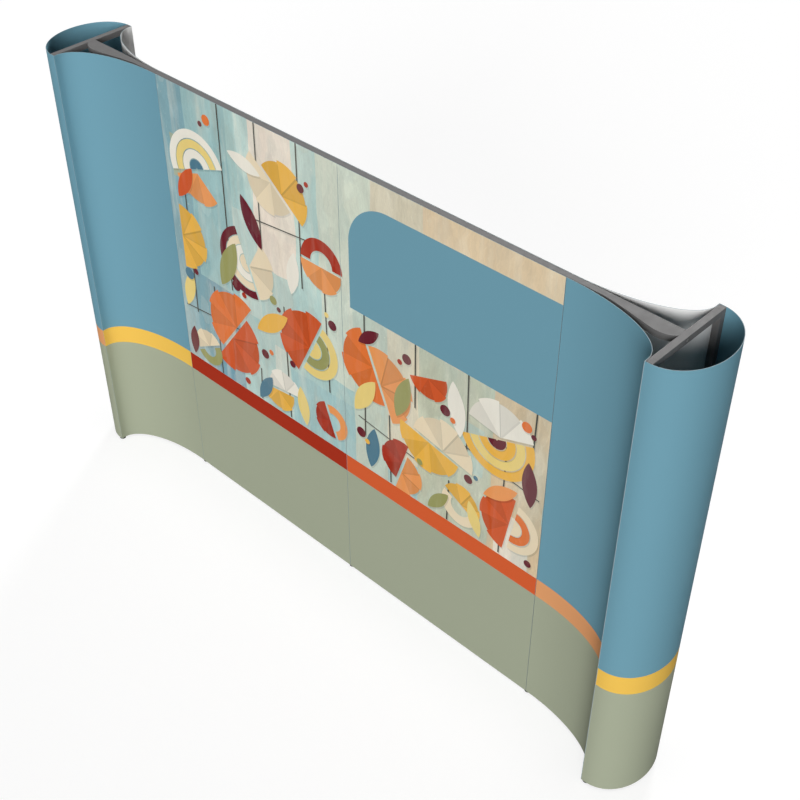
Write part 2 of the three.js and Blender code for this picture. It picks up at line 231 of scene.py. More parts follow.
def moulded(name, colour, roughness):
    """Moulded plastic with a little dust on it."""
    material, tree, bsdf, place = new_material(name)
    grain = noise(tree, place, 1500, detail=2)
    cloud = noise(tree, place, 30)
    dust = noise(tree, place, 90, detail=5, roughness=0.7)
    body = shade_by(tree, shade_by(tree, colour, grain, 0.1), cloud, 0.1)
    body = tint(tree, body, remap(tree, dust, 0.6, 0.8, 0.0, 0.12), DUST)
    rough = noise_to(tree, cloud, roughness - 0.06, roughness + 0.08)
    tree.links.new(body, bsdf.inputs["Base Color"])
    tree.links.new(rough, bsdf.inputs["Roughness"])
    bump(tree, bsdf, grain, 0.00006)
    return material


def magnetic_tape(name):
    """Dark brown rubber with the fine lines that extrusion leaves along it."""
    material, tree, bsdf, place = new_material(name)
    lines = noise(tree, place, 1400, stretch=(1, 1, 0.01), detail=2)
    grain = noise(tree, place, 2200, detail=2)
    body = shade_by(tree, shade_by(tree, RUBBER, lines, 0.25), grain, 0.15)
    tree.links.new(body, bsdf.inputs["Base Color"])
    tree.links.new(noise_to(tree, grain, 0.66, 0.82), bsdf.inputs["Roughness"])
    bump(tree, bsdf, lines, 0.00008)
    return material


def laminate(tree, bsdf, place, smudge):
    """The nearly matt film over a printed sheet."""
    film = noise(tree, place, 750, detail=2)
    tree.links.new(noise_to(tree, smudge, 0.56, 0.68), bsdf.inputs["Roughness"])
    bsdf.inputs["Specular IOR Level"].default_value = 0.03
    bump(tree, bsdf, film, 0.00003, 0.5)


def printed(name, painted=False):
    """Ink from the mesh's print attribute. If painted, its brush attribute says how brushed."""
    material, tree, bsdf, place = new_material(name)
    ink = node(tree, "ShaderNodeAttribute", attribute_name="print").outputs["Color"]
    smudge = noise(tree, place, 5, detail=4)
    dots = noise(tree, place, 1900, detail=1)
    if painted:
        ink = brushed(tree, ink, place)
    ink = shade_by(tree, ink, dots, 0.03)
    ink = shade_by(tree, ink, noise(tree, place, 1.1), 0.012)
    tree.links.new(ink, bsdf.inputs["Base Color"])
    laminate(tree, bsdf, place, smudge)
    return material


def dabs(tree, place, scale, stretch):
    """Three random values, each from 0 to 1, for every dab of a knife."""
    spread = node(tree, "ShaderNodeMapping", {"Vector": place, "Scale": stretch})
    cells = node(tree, "ShaderNodeTexVoronoi", {
        "Vector": spread.outputs["Vector"], "Scale": scale,
        "Smoothness": 0.35, "Randomness": 1.0,
    }, feature="SMOOTH_F1")
    split = node(tree, "ShaderNodeSeparateColor", {"Color": cells.outputs["Color"]})
    return split.outputs[0], split.outputs[1], split.outputs[2]


def wavered(tree, place, scale, reach):
    """The place, moved by up to about half of reach, which makes what is drawn there uneven."""
    waver = node(tree, "ShaderNodeTexNoise", {
        "Vector": place, "Scale": scale, "Detail": 4.0, "Roughness": 0.6,
    })

    def vector_math(operation, inputs):
        return node(tree, "ShaderNodeVectorMath", inputs, operation=operation).outputs[0]

    centred = vector_math("SUBTRACT", {0: waver.outputs["Color"], 1: (0.5, 0.5, 0.5)})
    shift = vector_math("SCALE", {0: centred, "Scale": reach})
    return vector_math("ADD", {0: place, 1: shift})


def brushed(tree, ink, place):
    """Paint drawn down with a knife: washes, dabs, streaks, fine bristle marks and dry flecks."""
    amount = node(tree, "ShaderNodeAttribute", attribute_name="brush").outputs["Fac"]
    uneven = wavered(tree, place, 6, 0.08)
    washes = noise(tree, uneven, 2.6, stretch=(1, 1, 0.4), detail=3, roughness=0.5)
    broad_tone, broad_pale, broad_cool = dabs(tree, uneven, 8, (1.0, 1.0, 0.32))
    small_tone, small_warm, small_pale = dabs(
        tree, wavered(tree, place, 30, 0.03), 17, (0.9, 1.0, 0.45),
    )
    streaks = noise(tree, wavered(tree, place, 4, 0.03), 22, stretch=(1, 1, 0.07))
    bristles = noise(tree, uneven, 150, stretch=(1, 1, 0.09), detail=4, roughness=0.6)
    flecks = noise(tree, uneven, 110, stretch=(1, 1, 0.3), detail=5, roughness=0.75)
    for value, low, high, share, colour in (
        (washes, 0.52, 0.72, 0.30, seen(222, 216, 198)),
        (washes, 0.46, 0.30, 0.24, seen(120, 164, 172)),
        (broad_pale, 0.60, 0.85, 0.15, seen(226, 218, 200)),
        (broad_cool, 0.66, 0.88, 0.12, seen(132, 174, 176)),
        (streaks, 0.54, 0.70, 0.24, seen(228, 222, 206)),
        (streaks, 0.40, 0.28, 0.16, seen(172, 152, 122)),
        (small_warm, 0.78, 0.90, 0.07, seen(188, 164, 128)),
        (small_pale, 0.76, 0.88, 0.12, seen(232, 226, 210)),
    ):
        there = remap(tree, value, low, high, 0.0, share)
        covered = calculate(tree, "MULTIPLY", amount, there)
        ink = tint(tree, ink, covered, colour)
    worked = shade_by(tree, ink, broad_tone, 0.05)
    worked = shade_by(tree, worked, small_tone, 0.04)
    worked = shade_by(tree, worked, bristles, 0.08)
    ink = tint(tree, ink, amount, worked)
    fleck = remap(tree, flecks, 0.62, 0.70, 0.0, 0.42)
    dry = calculate(tree, "MULTIPLY", amount, fleck)
    return tint(tree, ink, dry, seen(230, 224, 208))


def plain_sheet(name, colour):
    """A sheet of one colour under its film."""
    material, tree, bsdf, place = new_material(name)
    smudge = noise(tree, place, 4, detail=4)
    fine = noise(tree, place, 1600, detail=1)
    body = shade_by(tree, shade_by(tree, colour, smudge, 0.012), fine, 0.015)
    tree.links.new(body, bsdf.inputs["Base Color"])
    laminate(tree, bsdf, place, smudge)
    return material


def cut_edge(name):
    """The core at a sheet's cut edges, stained by the ink, with the marks of the cutter."""
    material, tree, bsdf, place = new_material(name)
    marks = noise(tree, place, 700)
    tree.links.new(shade_by(tree, SHEET_CORE, marks, 0.08), bsdf.inputs["Base Color"])
    tree.links.new(noise_to(tree, marks, 0.6, 0.75), bsdf.inputs["Roughness"])
    bump(tree, bsdf, marks, 0.00005)
    return material


FRAME_COAT = powder_coat("frame_powder_coat", (0.150, 0.147, 0.146, 1))
ARM_COAT = powder_coat("arm_powder_coat", (0.142, 0.140, 0.139, 1))
SCREW_STEEL = metal("zinc_plated_steel", (0.56, 0.56, 0.54, 1), 0.32)
STEM_STEEL = metal("turned_steel", (0.50, 0.50, 0.49, 1), 0.30)
TAPE = magnetic_tape("magnetic_rubber")
PAD_PLASTIC = moulded("black_nylon", (0.018, 0.018, 0.019, 1), 0.5)
MURAL_PRINT = printed("painted_print", painted=True)
PLAIN_PRINT = printed("colour_print")
WHITE_SHEET = plain_sheet("white_sheet", WHITE)
CORE = cut_edge("sheet_core")


# Pieces.

def add_piece(name, bm, body, materials, nodes, bevel=0.0, segments=2):
    """An object from the mesh. It rides on body and stands for the CAD's nodes."""
    mesh = bpy.data.meshes.new(name)
    bm.to_mesh(mesh)
    bm.free()
    for material in materials:
        mesh.materials.append(material)
    piece = bpy.data.objects.new(name, mesh)
    bpy.context.scene.collection.objects.link(piece)
    if bevel:
        edges = piece.modifiers.new("edges", "BEVEL")
        edges.width = bevel
        edges.segments = segments
        edges.limit_method = "ANGLE"
        edges.angle_limit = math.radians(BEVEL_ANGLE)
        edges.harden_normals = True
        edges.miter_outer = "MITER_ARC"
    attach(piece, body)
    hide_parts(*nodes)
    return piece


def smooth(bm, sharp_angle=SHARP_ANGLE):
    """Shades the mesh as round, apart from its sharp edges and its open ones."""
    for face in bm.faces:
        face.smooth = True
    limit = math.radians(sharp_angle)
    for edge in bm.edges:
        edge.smooth = len(edge.link_faces) == 2 and edge.calc_face_angle() < limit


# The frame.

WELD_DISTANCE = 0.01 * MM
FLAT_ANGLE = 0.5  # faces that meet at less than this become one


def refined(node_name, material):
    """The solid's own shape in large flat faces, with its edges rounded."""
    bm = bmesh.new()
    bm.from_mesh(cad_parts[node_name].data)
    bmesh.ops.remove_doubles(bm, verts=bm.verts, dist=WELD_DISTANCE)
    bmesh.ops.dissolve_limit(
        bm, angle_limit=math.radians(FLAT_ANGLE), verts=bm.verts, edges=bm.edges,
        use_dissolve_boundaries=False,
    )
    smooth(bm)
    add_piece(node_name + "_finish", bm, "frame", [material], [node_name], TUBE_BEVEL)


def build_frame():
    """Posts, rails and arms."""
    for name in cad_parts:
        if name.endswith("_arm"):
            refined(name, ARM_COAT)
        elif "_post" in name or "_rail" in name:
            refined(name, FRAME_COAT)


def build_tapes():
    """The tapes are the solids themselves, in rubber."""
    for name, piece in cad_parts.items():
        if "_tape" in name:
            piece.data.materials.clear()
            piece.data.materials.append(TAPE)


# Round pieces.

def turned(profile, steps):
    """A solid of revolution about Z from (radius, height) pairs that start and end on the axis."""
    bm = bmesh.new()
    rings = []
    for radius, z in profile:
        if radius < 1e-9:
            rings.append([bm.verts.new((0, 0, z))])
            continue
        rings.append([
            bm.verts.new((radius * math.cos(turn), radius * math.sin(turn), z))
            for turn in (2 * math.pi * i / steps for i in range(steps))
        ])
    for low, high in zip(rings, rings[1:]):
        for i in range(steps):
            j = (i + 1) % steps
            corners = (
                low[i % len(low)], low[j % len(low)], high[j % len(high)], high[i % len(high)],
            )
            bm.faces.new(list(dict.fromkeys(corners)))
    bmesh.ops.recalc_face_normals(bm, faces=bm.faces)
    return bm


SIDE_PER_ARC = 2.2  # a side is at least this many times as long as an arc takes up of it


def rounded(corners, radius, steps=3):
    """The profile with a small arc in place of each corner but the first and the last."""
    out = [corners[0]]
    for before, corner, after in zip(corners, corners[1:], corners[2:]):
        start, middle, end = Vector(before), Vector(corner), Vector(after)
        shorter = min((start - middle).length, (end - middle).length)
        reach = min(radius, shorter / SIDE_PER_ARC)
        a = middle + (start - middle).normalized() * reach
        b = middle + (end - middle).normalized() * reach
        for i in range(steps + 1):
            t = i / steps
            out.append(tuple((1 - t) ** 2 * a + 2 * t * (1 - t) * middle + t * t * b))
    out.append(corners[-1])
    return out


PAD_CHAMFER = 1 * MM
PAD_RIM = 5 * MM
PAD_CONE_TOP = 6.6 * MM
PAD_COLLAR_FLARE = 1.5 * MM
PAD_COLLAR_BOTTOM = 7 * MM
PAD_TOP = 8 * MM
PAD_NECK_RADIUS = 7 * MM
PAD_ROUNDING = 0.5 * MM
RIB_COUNT = 24
RIB_STEPS = 6
RIB_DEPTH = 0.5 * MM
RIB_MARGIN = 0.2 * MM  # plain rim above and below the ribs
STEM_RADIUS = 4 * MM
STEM_ROOT = 0.5 * MM  # how far the stem reaches into the pad
STEM_TIP = 1.2 * MM  # length of its tapered end
STEM_TIP_SHARE = 0.8  # how thick it still is at its very end
THREAD_PITCH = 1.25 * MM
THREAD_DEPTH = 0.55 * MM
THREAD_STEPS = 24  # facets around
THREAD_ROWS = 6  # rows of facets in one turn
THREAD_SHARP_ANGLE = 60


def pad_bmesh(radius):
    """The foot's pad: a ribbed rim, a shallow cone and a collar under the post."""
    profile = rounded([
        (0, 0), (radius - PAD_CHAMFER, 0), (radius, PAD_CHAMFER), (radius, PAD_RIM),
        (PAD_NECK_RADIUS + PAD_COLLAR_FLARE, PAD_CONE_TOP), (PAD_NECK_RADIUS, PAD_COLLAR_BOTTOM),
        (PAD_NECK_RADIUS, PAD_TOP), (0, PAD_TOP),
    ], PAD_ROUNDING)
    bm = turned(profile, RIB_COUNT * RIB_STEPS)
    for vert in bm.verts:
        reach = math.hypot(vert.co.x, vert.co.y)
        on_rim = PAD_CHAMFER + RIB_MARGIN < vert.co.z < PAD_RIM - RIB_MARGIN
        if on_rim and reach > radius - RIB_MARGIN:
            wave = 0.5 - 0.5 * math.cos(RIB_COUNT * math.atan2(vert.co.y, vert.co.x))
            vert.co.xy *= 1 - RIB_DEPTH * wave / reach
    smooth(bm)
    return bm


def stem_bmesh(bottom, top):
    """A threaded stem: one groove winds up its side."""
    bm = bmesh.new()
    rows = int((top - bottom) / THREAD_PITCH * THREAD_ROWS)
    rings = []
    for row in range(rows + 1):
        z = bottom + (top - bottom) * row / rows
        ring = []
        for i in range(THREAD_STEPS):
            turn = i / THREAD_STEPS
            phase = ((z - bottom) / THREAD_PITCH - turn) % 1.0
            groove = THREAD_DEPTH * abs(2 * phase - 1)
            below_tip = min(1.0, (top - z) / STEM_TIP)
            share = STEM_TIP_SHARE + (1 - STEM_TIP_SHARE) * below_tip
            reach = (STEM_RADIUS - groove) * share
            ring.append(bm.verts.new((
                reach * math.cos(2 * math.pi * turn), reach * math.sin(2 * math.pi * turn), z,
            )))
        rings.append(ring)
    for low, high in zip(rings, rings[1:]):
        for i in range(THREAD_STEPS):
            j = (i + 1) % THREAD_STEPS
            bm.faces.new((low[i], low[j], high[j], high[i]))
    bm.faces.new(list(reversed(rings[0])))
    bm.faces.new(rings[-1])
    smooth(bm, THREAD_SHARP_ANGLE)
    return bm


def build_feet():
    """A plastic pad and a steel stem for each levelling foot."""
    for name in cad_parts:
        if "_foot" not in name:
            continue
        low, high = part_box(name)
        centre = (low + high) / 2
        pad = pad_bmesh((high.x - low.x) / 2)
        stem = stem_bmesh(low.z + PAD_TOP - STEM_ROOT, high.z)
        for bm, part, material in ((pad, "pad", PAD_PLASTIC), (stem, "stem", STEM_STEEL)):
            bm.transform(Matrix.Translation((centre.x, centre.y, 0)))
            add_piece(f"{name}_{part}", bm, name, [material], [name])


SCREW_STEPS = 48
SCREW_TIP_ACROSS, SCREW_TIP_ALONG = 0.5 * MM, 0.6 * MM  # the chamfer at its tip
SCREW_RIM = 0.4 * MM  # height of the head's cylindrical rim
SCREW_ROUNDING = 0.25 * MM
SOCKET_RADIUS = 2.3 * MM  # to the hexagon's corners
SOCKET_MOUTH = 1.12  # radius of the round mouth, as a share of that
SOCKET_MOUTH_DEPTH = 0.2 * MM
SOCKET_HEX_TOP = 0.3 * MM
SOCKET_DEPTH = 2.6 * MM
SOCKET_POINT = 0.4 * MM  # depth of the cone that the drill leaves at the bottom


def build_screws():
    """Countersunk socket screws along X, with their heads at the end rails' outer faces."""
    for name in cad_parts:
        if not name.endswith("_screw"):
            continue
        low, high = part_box(name)
        side = 1 if low.x > 0 else -1
        head = (high.y - low.y) / 2
        shank = head / 2
        length = high.x - low.x
        mouth = SOCKET_RADIUS * SOCKET_MOUTH
        profile = rounded([
            (0, -length), (shank - SCREW_TIP_ACROSS, -length), (shank, -length + SCREW_TIP_ALONG),
            (shank, -(head - shank)), (head, -SCREW_RIM), (head, 0), (mouth, 0),
        ], SCREW_ROUNDING, 2)
        bm = turned(profile + [(mouth, -SOCKET_MOUTH_DEPTH)], SCREW_STEPS)
        sink_hexagon(bm, mouth)
        smooth(bm)
        outer = high.x if side > 0 else low.x
        place = Matrix.Translation((outer, (low.y + high.y) / 2, (low.z + high.z) / 2))
        bm.transform(place @ Matrix.Rotation(side * math.pi / 2, 4, "Y"))
        add_piece(name + "_finish", bm, "frame", [SCREW_STEEL], [name])


def sink_hexagon(bm, mouth):
    """Sinks a hexagonal socket from the ring at the mouth of a screw's head."""
    def at_mouth(vert):
        level = abs(vert.co.z + SOCKET_MOUTH_DEPTH) < 1e-7
        return level and abs(math.hypot(*vert.co.xy) - mouth) < 1e-6

    rim = sorted(filter(at_mouth, bm.verts), key=lambda v: math.atan2(v.co.y, v.co.x))
    apothem = SOCKET_RADIUS * math.cos(math.pi / 6)

    def hex_ring(z):
        ring = []
        for vert in rim:
            turn = math.atan2(vert.co.y, vert.co.x)
            off = (turn + math.pi / 6) % (math.pi / 3) - math.pi / 6
            reach = apothem / math.cos(off)
            ring.append(bm.verts.new((reach * math.cos(turn), reach * math.sin(turn), z)))
        return ring

    top, bottom = hex_ring(-SOCKET_HEX_TOP), hex_ring(-SOCKET_DEPTH)
    point = bm.verts.new((0, 0, -SOCKET_DEPTH - SOCKET_POINT))
    for i in range(SCREW_STEPS):
        j = (i + 1) % SCREW_STEPS
        for low, high in ((rim, top), (top, bottom)):
            bm.faces.new((low[i], low[j], high[j], high[i]))
        bm.faces.new((bottom[i], bottom[j], point))
    bmesh.ops.recalc_face_normals(bm, faces=bm.faces)


# The mural: a generic pattern of cut shapes on brushed colour. Millimetres across the wall and up.

DISC_STEPS = 72  # facets around a whole disc
FEWEST_STEPS = 6
LENS_STEPS = 18  # facets along each side
LENS_FULLNESS = 0.8  # below 1, a lens is blunter than a sine's arch
PATCH_STEP = 60  # between points along a hand-cut edge
WAVER_ACROSS, WAVER_UP = 0.037, 0.021  # radians a millimetre along such an edge
BLOCK_STEPS = 24  # facets round the block's corner
SHORT_BLADE = 0.94  # of a full one's length
SPLIT_SLIDE = 0.22  # of the radius
SPLIT_GAP = 7
ARCH_WIDTH = 0.9  # of the pitch from one half ring to the next
UPRIGHT_WIDTH, LEVEL_WIDTH = 8, 6  # of the thin lines
UPRIGHT_LEAN = 9


def disc(x, z, radius, start=0, end=360, inner=0):
    """A disc, a sector of one, or a ring's sector when inner isn't 0."""
    sweep = end - start
    count = max(FEWEST_STEPS, int(DISC_STEPS * sweep / 360))
    ends = 1 if sweep < 360 else 0  # a whole disc's end is its start
    turns = [math.radians(start + sweep * i / count) for i in range(count + ends)]
    rim = [(x + radius * math.cos(t), z + radius * math.sin(t)) for t in turns]
    if inner:
        rim += [(x + inner * math.cos(t), z + inner * math.sin(t)) for t in reversed(turns)]
    elif sweep % 180:
        rim.append((x, z))
    return rim


def lens(x, z, length, width, angle):
    """A shape with two pointed ends, like a leaf. x, z is its lower end."""
    dx, dz = math.cos(math.radians(angle)), math.sin(math.radians(angle))
    points = []
    for side, order in ((1, range(LENS_STEPS)), (-1, range(LENS_STEPS, 0, -1))):
        for i in order:
            t = i / LENS_STEPS
            out = side * width / 2 * math.sin(math.pi * t) ** LENS_FULLNESS
            points.append((x + dx * length * t + dz * out, z + dz * length * t - dx * out))
    return points


def bar(x0, z0, x1, z1, width):
    """A straight stroke."""
    length = math.hypot(x1 - x0, z1 - z0)
    dx, dz = (z1 - z0) / length * width / 2, -(x1 - x0) / length * width / 2
    return [(x0 + dx, z0 + dz), (x1 + dx, z1 + dz), (x1 - dx, z1 - dz), (x0 - dx, z0 - dz)]


def rectangle(x0, x1, z0, z1):
    return [(x0, z0), (x1, z0), (x1, z1), (x0, z1)]


def patch(x0, x1, z0, z1, wobble=5):
    """A rectangle with hand-cut edges, which stray by up to wobble."""
    corners = rectangle(x0, x1, z0, z1)
    points = []
    for (ax, az), (bx, bz) in sides(corners):
        count = max(1, int(math.hypot(bx - ax, bz - az) / PATCH_STEP))
        for i in range(count):
            t = i / count
            x, z = ax + (bx - ax) * t, az + (bz - az) * t
            drift = wobble * math.sin(WAVER_ACROSS * x + WAVER_UP * z) * math.sin(math.pi * t)
            points.append((x + drift, z) if ax == bx else (x, z + drift))
    return points


def block(left, right, bottom, top, radius):
    """A rectangle with its upper left corner rounded."""
    arc = [math.pi / 2 + math.pi / 2 * i / BLOCK_STEPS for i in range(BLOCK_STEPS + 1)]
    x, z = left + radius, top - radius
    corner = [(x + radius * math.cos(t), z + radius * math.sin(t)) for t in arc]
    return [(left, bottom), (right, bottom), (right, top)] + corner


CREAM = seen(222, 206, 176)
IVORY = seen(226, 221, 208)
ORANGE = seen(214, 112, 56)
LIGHT_ORANGE = seen(222, 146, 88)
DEEP_ORANGE = seen(196, 84, 44)
YELLOW = seen(224, 172, 74)
STRAW = seen(222, 198, 122)
BURGUNDY = seen(98, 34, 44)
RED = seen(160, 52, 36)
OLIVE = seen(146, 146, 92)
LINE = seen(70, 68, 62)
SLATE = seen(78, 116, 134)


def background():
    """Upright washes of colour: (outline, ink, brush)."""
    left, right, bottom, top = -MURAL_EDGE, MURAL_EDGE, BAND_TOP, MURAL_TOP
    return [
        (patch(left, right, bottom, top, 0), seen(166, 194, 190), 1.0),
        (patch(left, -860, bottom, top), seen(126, 160, 168), 1.0),
        (patch(-860, -655, bottom, 1235), seen(112, 150, 164), 1.0),
        (patch(-905, -640, 1235, top), seen(150, 182, 182), 1.0),
        (patch(-500, -255, 1480, top), seen(222, 210, 195), 0.9),
        (patch(-640, -500, 1180, 1700), seen(186, 202, 194), 1.0),
        (patch(-255, -120, 1180, top), seen(176, 202, 196), 1.0),
        (patch(-120, 170, 1100, top), seen(200, 208, 192), 1.0),
        (patch(170, 430, 1520, top), seen(206, 198, 174), 1.0),
        (patch(430, right, 1520, top), seen(212, 192, 160), 0.8),
        (patch(-330, 60, bottom, 1010), seen(156, 188, 188), 1.0),
        (patch(60, 250, bottom, BLOCK_BOTTOM), seen(188, 200, 186), 1.0),
        (patch(250, 420, 900, BLOCK_BOTTOM), seen(210, 202, 178), 1.0),
        (patch(420, 800, bottom, BLOCK_BOTTOM), seen(186, 190, 168), 1.0),
        (patch(800, right, bottom, BLOCK_BOTTOM), seen(204, 182, 148), 0.9),
        (patch(835, 1010, bottom, 960), seen(214, 206, 190), 1.0),
        (patch(-1015, -925, 1700, 1905, 8), seen(158, 164, 140), 1.0),
        (patch(-780, -700, 800, 1120, 6), seen(176, 184, 176), 1.0),
        (patch(-430, -340, 760, 1090, 6), seen(196, 206, 196), 1.0),
        (patch(640, 760, 1060, 1300, 6), seen(170, 190, 180), 1.0),
    ]


def darker(ink, share):
    return tuple(c * share for c in ink[:3]) + (1.0,)


def fan(x, z, radius, start, end, ink, blades):
    """Blades side by side round a point, by turns full and a little short and dark."""
    out = []
    for i in range(blades):
        low, high = (start + (end - start) * (i + step) / blades for step in (0, 1))
        if i % 2:
            out.append((disc(x, z, radius * SHORT_BLADE, low, high), darker(ink, BLADE_SHADE)))
        else:
            out.append((disc(x, z, radius, low, high), ink))
    return out


def split_disc(x, z, radius, angle, upper, lower, blades=5):
    """Two fans that make up a disc, slid a little along the cut between them."""
    dx, dz = math.cos(math.radians(angle)), math.sin(math.radians(angle))
    slide = radius * SPLIT_SLIDE
    out = []
    for side, start, ink in ((1, angle, upper), (-1, angle + 180, lower)):
        middle_x = x + side * dx * slide - side * dz * SPLIT_GAP
        middle_z = z + side * dz * slide + side * dx * SPLIT_GAP
        out += fan(middle_x, middle_z, radius, start, start + 180, ink, blades)
    return out


def arches(x, z, radius, angle, inks):
    """Half rings nested in each other."""
    pitch = radius / len(inks)
    out = []
    for i, ink in enumerate(inks):
        outer = radius - i * pitch
        out.append((disc(x, z, outer, angle, angle + 180, outer - pitch * ARCH_WIDTH), ink))
    return out


def motifs():
    """(outline, ink) from the lowest to the highest."""
    out = []
    for x, low, high in (
        (-960, 1000, 1700), (-820, 715, 1210), (-690, 1250, 2150), (-545, 720, 900),
        (-470, 1560, 2150), (-352, 720, 1330), (-230, 1480, 2150), (-90, 1010, 1560),
        (120, 900, BLOCK_BOTTOM), (268, 720, 1090), (402, 1210, BLOCK_BOTTOM), (585, 715, 940),
        (676, 1130, BLOCK_BOTTOM), (862, 720, 1290), (988, 1180, BLOCK_BOTTOM),
    ):
        lean = UPRIGHT_LEAN * math.sin(x)
        out.append((bar(x, low, x + lean, high, UPRIGHT_WIDTH), LINE))
    for x0, z0, x1, z1 in (
        (-1040, 1010, -560, 1060), (-560, 1690, -60, 1745), (80, 985, 470, 930),
        (600, 1180, 1040, 1120),
    ):
        out.append((bar(x0, z0, x1, z1, LEVEL_WIDTH), LINE))
    # Left panel.
    out += arches(-850, 1790, 178, 20, (IVORY, STRAW, IVORY, SLATE))
    out += fan(-850, 1770, 150, 200, 320, LIGHT_ORANGE, 3)
    out += fan(-1010, 1400, 168, -90, 90, YELLOW, 6)
    out += split_disc(-705, 1010, 190, 54, ORANGE, DEEP_ORANGE)
    out += arches(-575, 1445, 172, 110, (BURGUNDY, CREAM, IVORY, CREAM))
    out += fan(-560, 1440, 160, -70, 60, CREAM, 3)
    out += split_disc(-355, 1900, 150, -40, YELLOW, CREAM, 4)
    out += fan(-205, 1190, 186, 64, 244, DEEP_ORANGE, 6)
    out += arches(-185, 1196, 150, 244, (STRAW, OLIVE, STRAW))
    out += fan(-110, 1640, 120, 180, 360, LIGHT_ORANGE, 4)
    out += [(disc(-110, 1652, 118, 0, 180, 62), RED)]
    out += split_disc(-405, 845, 108, 8, IVORY, YELLOW, 4)
    out += fan(-905, 830, 92, 30, 210, CREAM, 4)
    out += fan(-95, 850, 96, 110, 290, RED, 4)
    out += [
        (disc(-905, 816, 90, 210, 390, 44), OLIVE),
        (disc(-80, 850, 90, -70, 110, 46), LIGHT_ORANGE), (lens(-760, 1250, 290, 96, 66), OLIVE),
        (lens(-1030, 1010, 220, 72, 74), STRAW), (lens(-540, 1120, 260, 88, 38), YELLOW),
        (lens(-470, 1560, 250, 84, 116), BURGUNDY), (lens(-640, 1960, 200, 66, -12), IVORY),
        (lens(-1000, 1600, 210, 74, 58), DEEP_ORANGE), (lens(-300, 1420, 220, 74, 82), IVORY),
        (lens(-560, 720, 190, 66, 60), SLATE), (lens(-250, 730, 210, 72, 98), STRAW),
        (lens(-1020, 730, 170, 60, 84), BURGUNDY),
    ]
    for x, z, radius, ink in (
        (-660, 1290, 26, BURGUNDY), (-612, 1262, 15, RED), (-990, 1200, 30, SLATE),
        (-940, 1232, 16, BURGUNDY), (-420, 1330, 22, OLIVE), (-388, 1296, 13, BURGUNDY),
        (-500, 1000, 24, BURGUNDY), (-458, 1030, 14, ORANGE), (-210, 1960, 20, BURGUNDY),
        (-176, 1990, 12, RED), (-760, 2050, 24, ORANGE), (-800, 2020, 13, BURGUNDY),
        (-320, 1040, 18, BURGUNDY), (-60, 1380, 24, BURGUNDY), (-92, 1418, 13, STRAW),
        (-640, 770, 18, RED),
    ):
        out.append((disc(x, z, radius), ink))
    # Right panel.
    out += split_disc(190, 1255, 178, 112, ORANGE, LIGHT_ORANGE)
    out += arches(820, 1300, 184, 200, (YELLOW, STRAW, YELLOW, BURGUNDY))
    out += fan(835, 1318, 168, 20, 170, IVORY, 4)
    out += split_disc(515, 1075, 160, -12, CREAM, YELLOW)
    out += fan(905, 905, 150, 80, 260, DEEP_ORANGE, 5)
    out += arches(925, 905, 128, -100, (CREAM, ORANGE, CREAM))
    out += split_disc(330, 845, 116, 72, RED, LIGHT_ORANGE, 4)
    out += fan(470, 1400, 104, 200, 380, DEEP_ORANGE, 4)
    out += fan(655, 850, 104, -30, 150, YELLOW, 4)
    out += [
        (disc(655, 836, 100, 150, 330, 50), CREAM), (lens(60, 1010, 240, 84, 60), STRAW),
        (lens(300, 1110, 240, 80, 74), OLIVE), (lens(640, 1200, 260, 88, 100), IVORY),
        (lens(150, 735, 230, 80, 84), SLATE), (lens(480, 725, 170, 60, 50), OLIVE),
        (lens(770, 985, 200, 70, 34), LIGHT_ORANGE), (lens(1000, 1060, 220, 74, 96), BURGUNDY),
        (lens(760, 730, 180, 62, 110), STRAW), (lens(90, 1380, 150, 56, 40), BURGUNDY),
    ]
    for x, z, radius, ink in (
        (355, 1430, 24, BURGUNDY), (318, 1398, 13, RED), (560, 1290, 26, BURGUNDY),
        (600, 1262, 14, ORANGE), (690, 1010, 22, BURGUNDY), (728, 1040, 12, SLATE),
        (95, 900, 26, BURGUNDY), (130, 868, 14, YELLOW), (955, 1440, 24, ORANGE),
        (990, 1410, 13, BURGUNDY), (430, 940, 16, OLIVE), (1010, 760, 18, BURGUNDY),
    ):
        out.append((disc(x, z, radius), ink))
    return out


def shifted(outline, by):
    """The outline, moved across and up."""
    return [(x + by[0], z + by[1]) for x, z in outline]


def design(band):
    """All of a centre panel's print, lowest first: (outline, ink or None for a shadow, brush)."""
    layers = background()
    for outline, ink in motifs():
        layers.append((shifted(outline, SHADE_SHIFT), None, 0))
        layers.append((outline, ink, SHAPE_BRUSH))
    edge = MURAL_EDGE + BLEED
    layers.append((block(BLOCK_LEFT, edge, BLOCK_BOTTOM, BLOCK_TOP, BLOCK_CORNER), TEAL, 0))
    layers.append((rectangle(-edge, edge, BAND_BOTTOM, BAND_TOP), band, 0))
    layers.append((rectangle(-edge, edge, -BLEED, BAND_BOTTOM), SAGE, 0))
    return layers


def sides(outline):
    """Each point of a closed outline with the next one."""
    return zip(outline, outline[1:] + outline[:1])


def turned_left(outline):
    """The outline, walked so that its inside is on the left."""
    area = sum(ax * bz - bx * az for (ax, az), (bx, bz) in sides(outline))
    return outline if area > 0 else list(reversed(outline))


def clipped(outline, low, high):
    """The part of an outline from low to high across."""
    for limit, keep in ((low, 1), (high, -1)):
        out = []
        for (ax, az), (bx, bz) in sides(outline):
            a_in, b_in = keep * (ax - limit) >= 0, keep * (bx - limit) >= 0
            if a_in:
                out.append((ax, az))
            if a_in != b_in:
                t = (limit - ax) / (bx - ax)
                out.append((limit, az + (bz - az) * t))
        outline = out
        if len(outline) < 3:
            return []
    return outline


def clipped_box(outline, box):
    """The part of an outline inside (x0, x1, z0, z1)."""
    flat = clipped(outline, box[0], box[1])
    swapped = clipped([(z, x) for x, z in flat], box[2], box[3]) if flat else []
    return [(x, z) for z, x in swapped]


